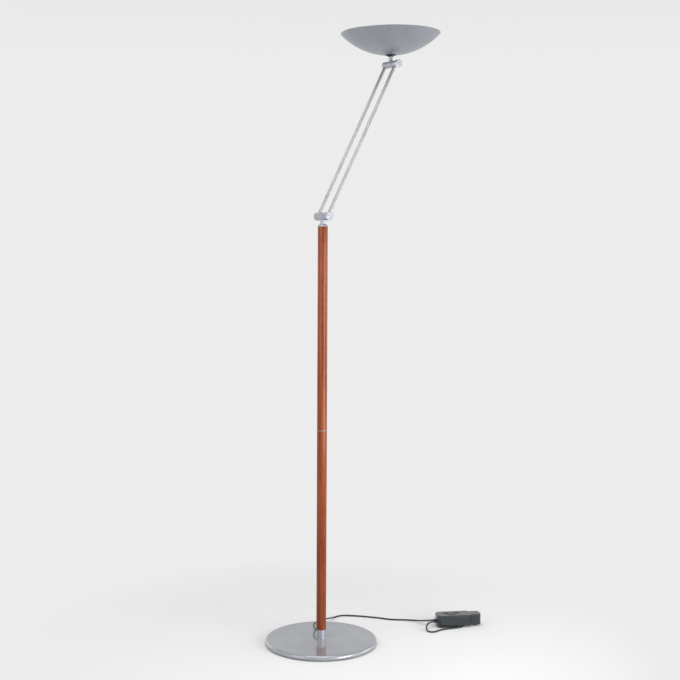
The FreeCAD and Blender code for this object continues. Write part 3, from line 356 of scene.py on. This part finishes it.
def bowl_lacquer():
    """Grey satin lacquer over spun metal: faint rings from the spinning, fine flakes."""
    material, tree, shader = new_material(
        "bowl_lacquer", Metallic=0.72, Coat_Weight=0.25, Coat_Roughness=0.3, Coat_IOR=1.5
    )
    head = place_on_piece(tree, (1, 1, 1), UPPER_HINGE, (0, HEAD_TILT, 0))
    spun = rings(tree, head, 130, "Z", 0.6)
    plain = place_on_piece(tree)
    flakes = noise(tree, plain, 4200, 2.0)
    cloud = noise(tree, plain, 11, 3.0)
    fine = colours(tree, flakes, [(0.35, srgb(140, 144, 150)), (0.7, srgb(160, 163, 171))])
    broad = colours(tree, cloud, [(0.3, srgb(236, 237, 240)), (0.7, srgb(255, 255, 255))])
    tree.links.new(multiply_colours(tree, fine, broad), shader.inputs["Base Color"])
    tree.links.new(spread(tree, cloud, 0.36, 0.44), shader.inputs["Roughness"])
    first = relief(tree, shader, spun, 1.2e-5, 0.5)
    relief(tree, shader, noise(tree, plain, 380, 2.0), 8e-6, 1.0, first)
    return material


def cherry_wood():
    """Red-brown stained wood with straight grain, short pores and a semi-gloss varnish."""
    material, tree, shader = new_material(
        "cherry_wood", Coat_Weight=0.5, Coat_Roughness=0.17, Coat_IOR=1.5, Specular_IOR_Level=0.0
    )
    long = place_on_piece(tree, (1, 1, 0.035))
    short = place_on_piece(tree, (1, 1, 0.09))
    figure = noise(tree, long, 95, 5.0, 0.6, 0.6)
    fibre = noise(tree, long, 620, 4.0, 0.65)
    pores = noise(tree, short, 2100, 2.0, 0.5)
    cloud = noise(tree, place_on_piece(tree, (1, 1, 0.3)), 18, 3.0)
    tone = colours(tree, figure, [
        (0.25, srgb(120, 52, 24)),
        (0.45, srgb(152, 74, 39)),
        (0.62, srgb(174, 93, 54)),
        (0.8, srgb(138, 64, 33)),
    ])
    streak = colours(tree, fibre, [(0.3, srgb(218, 206, 196)), (0.65, srgb(255, 255, 255))])
    depth = colours(tree, pores, [(0.32, srgb(168, 144, 130)), (0.42, srgb(255, 255, 255))])
    broad = colours(tree, cloud, [(0.3, srgb(222, 214, 206)), (0.7, srgb(255, 255, 255))])
    tinted = multiply_colours(tree, tone, streak)
    tinted = multiply_colours(tree, tinted, depth)
    tinted = multiply_colours(tree, tinted, broad)
    tree.links.new(tinted, shader.inputs["Base Color"])
    tree.links.new(spread(tree, fibre, 0.38, 0.52), shader.inputs["Roughness"])
    first = relief(tree, shader, fibre, 1.5e-5, 0.6)
    relief(tree, shader, pores, 2.5e-5, 0.5, first)
    return material


def plastic(name, dark, light, rough, grain=2600, depth=2.2e-5, coat=0.0):
    """Moulded plastic with a fine spark-eroded grain."""
    material, tree, shader = new_material(name, Coat_Weight=coat, Coat_Roughness=0.25)
    plain = place_on_piece(tree)
    pits = noise(tree, plain, grain, 2.0)
    cloud = noise(tree, plain, 32, 3.0)
    tree.links.new(colours(tree, cloud, [(0.3, dark), (0.7, light)]), shader.inputs["Base Color"])
    tree.links.new(spread(tree, cloud, rough * 0.88, rough * 1.12), shader.inputs["Roughness"])
    relief(tree, shader, pits, depth)
    return material


def felt():
    """Pressed felt: short matted fibres."""
    material, tree, shader = new_material("felt", Sheen_Weight=0.4, Sheen_Roughness=0.5)
    plain = place_on_piece(tree)
    fibre = noise(tree, plain, 1600, 6.0, 0.75, 0.8)
    tone = colours(tree, fibre, [(0.3, srgb(22, 22, 24)), (0.7, srgb(58, 58, 60))])
    tree.links.new(tone, shader.inputs["Base Color"])
    tree.links.new(spread(tree, fibre, 0.88, 1.0), shader.inputs["Roughness"])
    relief(tree, shader, fibre, 2.5e-4)
    return material


def cast_iron():
    """Sand-cast iron: coarse skin with dark pits."""
    material, tree, shader = new_material("cast_iron", Metallic=0.4)
    plain = place_on_piece(tree)
    skin = noise(tree, plain, 520, 5.0, 0.7)
    tone = colours(tree, skin, [(0.3, srgb(44, 43, 43)), (0.7, srgb(92, 90, 88))])
    tree.links.new(tone, shader.inputs["Base Color"])
    tree.links.new(spread(tree, skin, 0.6, 0.85), shader.inputs["Roughness"])
    relief(tree, shader, skin, 1.5e-4)
    return material


def reflector():
    """Anodised aluminium with shallow hammered dimples that spread the light."""
    material, tree, shader = new_material("reflector", Metallic=1.0)
    plain = place_on_piece(tree)
    dimple = cells(tree, plain, 210)
    cloud = noise(tree, plain, 40, 3.0)
    tone = colours(tree, cloud, [(0.3, srgb(214, 215, 216)), (0.7, srgb(236, 236, 235))])
    tree.links.new(tone, shader.inputs["Base Color"])
    tree.links.new(spread(tree, cloud, 0.18, 0.28), shader.inputs["Roughness"])
    relief(tree, shader, dimple, 4e-4, 0.6)
    return material


def ceramic():
    """Unglazed steatite with a few darker specks."""
    material, tree, shader = new_material("ceramic", Specular_IOR_Level=0.35)
    plain = place_on_piece(tree)
    speck = noise(tree, plain, 1300, 3.0, 0.7)
    tone = colours(tree, speck, [
        (0.28, srgb(188, 178, 160)),
        (0.42, srgb(228, 222, 208)),
        (1.0, srgb(238, 233, 222)),
    ])
    tree.links.new(tone, shader.inputs["Base Color"])
    tree.links.new(spread(tree, speck, 0.5, 0.7), shader.inputs["Roughness"])
    relief(tree, shader, speck, 4e-5)
    return material


def glass(name, tint, ripple):
    """Clear glass with a faint ripple from its making."""
    material, tree, shader = new_material(name, Transmission_Weight=1.0, IOR=1.48)
    plain = place_on_piece(tree)
    wave = noise(tree, plain, 24, 2.0)
    tone = colours(tree, wave, [(0.3, tint), (0.7, srgb(252, 254, 253))])
    tree.links.new(tone, shader.inputs["Base Color"])
    tree.links.new(spread(tree, wave, 0.0, 0.03), shader.inputs["Roughness"])
    relief(tree, shader, wave, ripple)
    return material


def board():
    """Green circuit board with a woven glass base."""
    material, tree, shader = new_material("board", Coat_Weight=0.4, Coat_Roughness=0.2)
    plain = place_on_piece(tree)
    weave = noise(tree, plain, 900, 2.0)
    tone = colours(tree, weave, [(0.35, srgb(20, 74, 42)), (0.65, srgb(34, 100, 58))])
    tree.links.new(tone, shader.inputs["Base Color"])
    tree.links.new(spread(tree, weave, 0.35, 0.5), shader.inputs["Roughness"])
    relief(tree, shader, weave, 2e-5)
    return material


def finishes():
    """Material of each slot of the record."""
    along_rod = (0, ARM_LEAN, 0)
    return {
        "felt": felt(),
        "cast_iron": cast_iron(),
        "base_lacquer": base_lacquer(),
        "bowl_lacquer": bowl_lacquer(),
        "cherry_wood": cherry_wood(),
        "plated_steel": metal("plated_steel", srgb(170, 168, 160), srgb(200, 199, 192), 0.34),
        "satin_metal": metal("satin_metal", srgb(174, 176, 184), srgb(190, 192, 200), 0.54, (0.05, 0.05, 1)),
        "rod_metal": metal("rod_metal", srgb(172, 171, 172), srgb(182, 181, 182), 0.5, (0.4, 0.4, 0.008),
                           along_rod, depth=1e-6),
        "ring_metal": metal("ring_metal", srgb(142, 124, 112), srgb(158, 140, 128), 0.5, (0.05, 0.05, 1)),
        "knob_metal": metal("knob_metal", srgb(214, 214, 226), srgb(228, 228, 238), 0.2, (0.06, 1, 0.06)),
        # Dark metal of the cup under the bowl: a real dark part, and its darkness is also painted shade and
        # painted reflection for the dark patch under the bowl's bottom
        "dark_metal": metal("dark_metal", srgb(54, 54, 60), srgb(78, 78, 86), 0.30, (0.05, 0.05, 1)),
        "pin_metal": metal("pin_metal", srgb(206, 203, 194), srgb(224, 221, 212), 0.22),
        "black_plastic": plastic("black_plastic", srgb(26, 26, 28), srgb(40, 40, 43), 0.42),
        "cord_black": plastic("cord_black", srgb(24, 25, 26), srgb(38, 39, 40), 0.40, 1800, 1.6e-5),
        "wire_sleeve": plastic("wire_sleeve", srgb(206, 204, 196), srgb(226, 224, 216), 0.55),
        "dimmer_plastic": plastic("dimmer_plastic", srgb(20, 31, 35), srgb(29, 40, 44), 0.22,
                                  2400, 1.4e-5, 0.5),
        # Slider a touch lighter than the housing: painted light that matches the lit top of the housing and
        # offsets the shade in its well
        "slider_plastic": plastic("slider_plastic", srgb(26, 37, 41), srgb(35, 46, 50), 0.22,
                                  2400, 1.4e-5, 0.5),
        "reflector": reflector(),
        "ceramic": ceramic(),
        "quartz": glass("quartz", srgb(246, 250, 252), 2e-5),
        "clear_glass": glass("clear_glass", srgb(226, 242, 234), 3e-5),
        "board": board(),
    }


# Places that the cords pass
def on_dimmer(along, across, level):
    """Place in the room of a point that is given on the dimmer's axes."""
    side = Matrix.Rotation(DIMMER_TURN, 3, "Z")
    return DIMMER_PLACE + side @ Vector((along, across, level))


def from_exit(reach):
    """Place at a distance from the pole's axis, straight out of the lamp's cord exit."""
    angle = math.radians(EXIT_ANGLE)
    return Vector((reach * math.cos(angle), reach * math.sin(angle), EXIT_HEIGHT))


def coil_place(turn, swell=1.0):
    """Place on the coil's line after a turn in degrees, on the dimmer's axes."""
    middle = COIL_TURN / 2
    radius = (COIL_RADIUS - COIL_PITCH * (middle - abs(turn - middle)) / 360) * swell
    climb = min(max((turn - middle) / 180 + 0.5, 0), 1)
    level = CORD_LEVEL + COIL_PITCH * climb * climb * (3 - 2 * climb)
    angle = math.radians(COIL_START + turn)
    return Vector((COIL_ALONG + radius * math.cos(angle), COIL_BEHIND + radius * math.sin(angle), level))


def coil_heading(turn):
    """Direction of the coil's line after a turn in degrees, on the dimmer's axes."""
    angle = math.radians(COIL_START + turn)
    return Vector((-math.sin(angle), math.cos(angle), 0))


def round_bar(name, kind, points, radius, roundness):
    """Round bar of a radius along one open spline with these control points."""
    curve = bpy.data.curves.new(name, "CURVE")
    curve.dimensions = "3D"
    curve.resolution_u = 6
    curve.bevel_depth = radius
    curve.bevel_resolution = roundness
    spline = curve.splines.new(kind)
    spline.points.add(len(points) - 1)
    for point, place in zip(spline.points, points):
        point.co = (*place, 1.0)
    return show(name, curve)


def cord_curve(name, points):
    """Smooth round cord with closed ends."""
    cord = round_bar(name, "NURBS", points, CORD_RADIUS, 5)
    cord.data.use_fill_caps = True
    spline = cord.data.splines[0]
    spline.order_u = 3
    spline.use_endpoint_u = True
    return cord


def lamp_flex():
    """Cord from the pole's foot to the dimmer."""
    points = [from_exit(EXIT_REACH), from_exit(EXIT_REACH + FIRST_RUN)]
    points += [Vector(point) for point in LAMP_CORD_ROUTE]
    points.append(on_dimmer(-RELIEF_OUTSIDE - FIRST_RUN, RELIEF_OFFSET, RELIEF_HEIGHT))
    points.append(on_dimmer(-RELIEF_OUTSIDE, RELIEF_OFFSET, RELIEF_HEIGHT))
    return cord_curve("lamp_flex", points)


def mains_flex():
    """Cord from the dimmer to its plug, with the unseen length wound up behind the dimmer."""
    points = [on_dimmer(-RELIEF_OUTSIDE, -RELIEF_OFFSET, RELIEF_HEIGHT)]
    points.append(on_dimmer(-RELIEF_OUTSIDE - FIRST_RUN, -RELIEF_OFFSET, RELIEF_HEIGHT))
    points += [on_dimmer(*point) for point in MAINS_LEAD_ROUTE]
    start = coil_place(0) - coil_heading(0) * 2 * CORD_RADIUS
    points.append(on_dimmer(*(start - coil_heading(0) * COIL_LEAD_RUN)))
    points.append(on_dimmer(*start))
    # Control points stand outside the round line that they give
    swell = 4 / (3 + math.cos(math.radians(COIL_STEP)))
    steps = int(COIL_TURN / COIL_STEP)
    points += [on_dimmer(*coil_place(COIL_STEP * (number + 0.5), swell)) for number in range(steps)]
    points.append(on_dimmer(*coil_place(COIL_TURN)))
    points.append(on_dimmer(*(coil_place(COIL_TURN) + coil_heading(COIL_TURN) * 2 * CORD_RADIUS)))
    return cord_curve("mains_flex", points)


# Meshes
def mesh_piece(name, rings_of_points, sharp_angle=35):
    """Skin over rings of equally many points; its ends are closed by flat faces."""
    made = bmesh.new()
    rows = [[made.verts.new(point) for point in ring] for ring in rings_of_points]
    count = len(rows[0])
    for low, high in zip(rows, rows[1:]):
        for number in range(count):
            following = (number + 1) % count
            made.faces.new((low[number], low[following], high[following], high[number]))
    made.faces.new(list(reversed(rows[0])))
    made.faces.new(rows[-1])
    bmesh.ops.recalc_face_normals(made, faces=made.faces)
    for face in made.faces:
        face.smooth = True
    for edge in made.edges:
        edge.smooth = edge.calc_face_angle(0) < math.radians(sharp_angle)
    mesh = bpy.data.meshes.new(name)
    made.to_mesh(mesh)
    made.free()
    return show(name, mesh)


def frame_along(place, turn):
    """Axes with X along a level direction."""
    return Matrix.Translation(place) @ Matrix.Rotation(turn, 4, "Z")


def ribbed_boot(name, axes, low, high, low_radius, high_radius, rib_start, rib_end, ribs, count=40):
    """Tapered strain relief along its own X axis, with ring grooves between two places."""
    steps = []
    pitch = (rib_end - rib_start) / ribs
    groove = pitch * GROOVE_SHARE
    places = [low, low + BOOT_EDGE]
    for number in range(ribs):
        start = rib_start + pitch * number
        places += [start, start + GROOVE_SLOPE, start + groove - GROOVE_SLOPE, start + groove]
    places += [high - BOOT_EDGE, high]
    for number, along in enumerate(places):
        share = (along - low) / (high - low)
        radius = low_radius + (high_radius - low_radius) * share
        if number in (0, len(places) - 1):
            radius -= BOOT_EDGE
        elif 2 <= number < len(places) - 2 and (number - 2) % 4 in (1, 2):
            radius -= GROOVE_DEPTH
        steps.append((along, radius))
    circle = [2 * math.pi * number / count for number in range(count)]
    skin = [
        [axes @ Vector((along, radius * math.cos(angle), radius * math.sin(angle))) for angle in circle]
        for along, radius in steps
    ]
    return mesh_piece(name, skin, sharp_angle=50)


def squared(angle_part):
    """Turns the circle's sine or cosine into that of a rounded square."""
    return math.copysign(abs(angle_part) ** PLUG_SQUARENESS, angle_part)


def plug_outline(along):
    """Half width and half height of the plug at a distance from its rear."""
    near_end = min(along, PLUG_LENGTH - along, PLUG_CORNER)
    round_off = PLUG_CORNER - math.sqrt(max(PLUG_CORNER ** 2 - (PLUG_CORNER - near_end) ** 2, 0))
    widen = min(along / PLUG_TAPER, 1)
    widen = widen * widen * (3 - 2 * widen)
    half = PLUG_REAR_HALF_WIDTH + (PLUG_HALF_WIDTH - PLUG_REAR_HALF_WIDTH) * widen
    rib = 0
    if PLUG_RIB_START < along < PLUG_RIB_END:
        wave = 2 * math.pi * (along - PLUG_RIB_START) / PLUG_RIB_PITCH
        rib = PLUG_RIB_DEPTH * (1 - math.cos(wave)) / 2
    return half - round_off - rib, PLUG_HALF_HEIGHT - round_off


def plug_shell(axes, count=64, steps=60):
    """Moulded plug: tapered rear, finger ribs on its sides and rounded edges."""
    skin = []
    for step in range(steps + 1):
        along = PLUG_LENGTH * step / steps
        half, height = plug_outline(along)
        row = []
        for number in range(count):
            angle = 2 * math.pi * number / count
            across = half * squared(math.cos(angle))
            up = height * squared(math.sin(angle))
            row.append(axes @ Vector((PLUG_RELIEF_LENGTH + along, across, up)))
        skin.append(row)
    return mesh_piece("plug_shell", skin)


def filament(per_turn=10):
    """Tungsten coil on the axis of the halogen tube, with straight ends."""
    low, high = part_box("lamp_tube")
    centre = (low + high) / 2
    half = (high.y - low.y) / 2
    coiled = half - FILAMENT_END
    steps = FILAMENT_TURNS * per_turn
    points = [centre + Vector((0, -half, 0))]
    for number in range(steps + 1):
        angle = 2 * math.pi * number / per_turn
        along = -coiled + 2 * coiled * number / steps
        turned = Vector((FILAMENT_RADIUS * math.cos(angle), along, FILAMENT_RADIUS * math.sin(angle)))
        points.append(centre + turned)
    points.append(centre + Vector((0, half, 0)))
    return round_bar("filament", "POLY", points, FILAMENT_WIRE, 1)


def dress(piece, material, body):
    """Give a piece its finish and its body."""
    piece.data.materials.append(material)
    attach(piece, body)
    return piece


# Cords and what is on them
def make_cords(looks):
    black = looks["cord_black"]
    for name, node, across in (
        ("lamp_cord_boot", "cord_relief", RELIEF_OFFSET),
        ("mains_cord_boot", "mains_relief", -RELIEF_OFFSET),
    ):
        axes = frame_along(on_dimmer(0, across, RELIEF_HEIGHT), DIMMER_TURN)
        boot = ribbed_boot(name, axes, -RELIEF_OUTSIDE, RELIEF_INSIDE, RELIEF_SMALL_RADIUS,
                           RELIEF_BIG_RADIUS, -RELIEF_OUTSIDE + 0.001, -0.0008, 3)
        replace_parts(dress(boot, black, "stand"), node)

    tail = coil_place(COIL_TURN) + coil_heading(COIL_TURN) * 2 * CORD_RADIUS
    turn = DIMMER_TURN + math.radians(COIL_START + COIL_TURN + 90)
    axes = frame_along(on_dimmer(*tail), turn)
    plug = dress(plug_shell(axes), black, "stand")
    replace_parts(plug, "plug_body")
    boot = ribbed_boot("plug_boot", axes, 0, PLUG_RELIEF_LENGTH, RELIEF_SMALL_RADIUS, PLUG_RELIEF_RADIUS,
                       0.0015, PLUG_RELIEF_LENGTH - 0.003, 5)
    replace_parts(dress(boot, black, "stand"), "plug_relief")

    flex = dress(lamp_flex(), black, "stand")
    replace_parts(flex, "lamp_cord")
    lead = dress(mains_flex(), black, "stand")
    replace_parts(lead, "mains_lead", "mains_coil")


# CAD nodes keep their shape and get their finish
def finish_nodes(looks):
    for part in frame["record"]["subparts"]:
        node = frame["nodes"][part["node"]]
        node.data.materials.clear()
        node.data.materials.append(looks[OWN_FINISH.get(part["node"], part["material_slot"])])


# Studio
def studio_floor():
    """Pale floor that keeps the shadow near the lamp and runs into the background further out."""
    made = bmesh.new()
    bmesh.ops.create_grid(made, x_segments=24, y_segments=24, size=FLOOR_HALF_SIZE)
    mesh = bpy.data.meshes.new("studio_floor")
    made.to_mesh(mesh)
    made.free()
    floor = show("studio_floor", mesh)
    floor.location = (0, 0, -FLOOR_DROP)

    material = bpy.data.materials.new("studio_floor")
    material.use_nodes = True
    tree = material.node_tree
    tree.nodes.clear()
    output = tree.nodes.new("ShaderNodeOutputMaterial")
    paint = tree.nodes.new("ShaderNodeBsdfDiffuse")
    plain = place_on_piece(tree)
    speck = noise(tree, plain, 300, 3.0)
    tree.links.new(colours(tree, speck, FLOOR_SPECKS), paint.inputs["Color"])
    glow = tree.nodes.new("ShaderNodeEmission")
    glow.inputs["Color"].default_value = (PALE, PALE, PALE, 1)
    reach = tree.nodes.new("ShaderNodeVectorMath")
    reach.operation = "LENGTH"
    tree.links.new(plain, reach.inputs[0])
    far = spread(tree, reach.outputs["Value"], 0.0, 1.0, FLOOR_LIT_TO, FLOOR_PLAIN_FROM)
    surface = blend_shaders(tree, far, paint.outputs[0], glow.outputs[0])
    tree.links.new(surface, output.inputs["Surface"])
    mesh.materials.append(material)


def studio_world():
    """Pale background for the camera, metal and glass; a softer level for diffuse light."""
    world = bpy.data.worlds.new("studio")
    world.use_nodes = True
    bpy.context.scene.world = world
    tree = world.node_tree
    tree.nodes.clear()
    output = tree.nodes.new("ShaderNodeOutputWorld")
    ray = tree.nodes.new("ShaderNodeLightPath")
    seen = tree.nodes.new("ShaderNodeBackground")
    lit = tree.nodes.new("ShaderNodeBackground")
    lit.inputs["Color"].default_value = (1, 1, 1, 1)
    lit.inputs["Strength"].default_value = AMBIENT
    heading = tree.nodes.new("ShaderNodeTexCoord")
    split = tree.nodes.new("ShaderNodeSeparateXYZ")
    tree.links.new(heading.outputs["Generated"], split.inputs[0])
    height = spread(tree, split.outputs["Z"], 0.0, 1.0, CEILING_START, CEILING_FULL)
    wall = (PALE, PALE, PALE, 1)
    tree.links.new(colours(tree, height, [(0.0, wall), (1.0, CEILING)]), seen.inputs["Color"])
    either = combine(tree, "MAXIMUM", ray.outputs["Is Camera Ray"], ray.outputs["Is Glossy Ray"])
    any_of = combine(tree, "MAXIMUM", either, ray.outputs["Is Transmission Ray"])
    surface = blend_shaders(tree, any_of, lit.outputs[0], seen.outputs[0])
    tree.links.new(surface, output.inputs["Surface"])


def softbox(name, place, target, width, height, watts):
    """Soft rectangular lamp that faces a target."""
    data = bpy.data.lights.new(name, "AREA")
    data.shape = "RECTANGLE"
    data.size = width
    data.size_y = height
    data.energy = watts
    lamp = show(name, data)
    lamp.location = place
    lamp.rotation_mode = "QUATERNION"
    lamp.rotation_quaternion = (Vector(target) - Vector(place)).to_track_quat("-Z", "Y")


def studio_lights():
    softbox("key_light", (0.45, -2.15, 0.66), (0.0, 0.0, 0.66), 1.0, 1.0, 30)
    softbox("side_light", (2.5, -1.15, 0.7), (0.0, 0.0, 0.6), 1.3, 1.2, 13)
    softbox("fill_light", (-3.2, -0.3, 1.4), (0.0, 0.0, 1.2), 1.5, 1.7, 20)
    softbox("back_light", (-0.3, 3.1, 1.4), (0.0, 0.0, 0.9), 1.6, 1.8, 9)
    softbox("top_light", (-0.4, -0.4, 3.6), (0.1, 0.0, 0.0), 2.0, 2.0, 50)


make_camera()
looks = finishes()
make_cords(looks)
finish_nodes(looks)
dress(filament(), looks["pin_metal"], "head")
studio_floor()
studio_world()
studio_lights()
bpy.context.scene.view_settings.view_transform = "Standard"
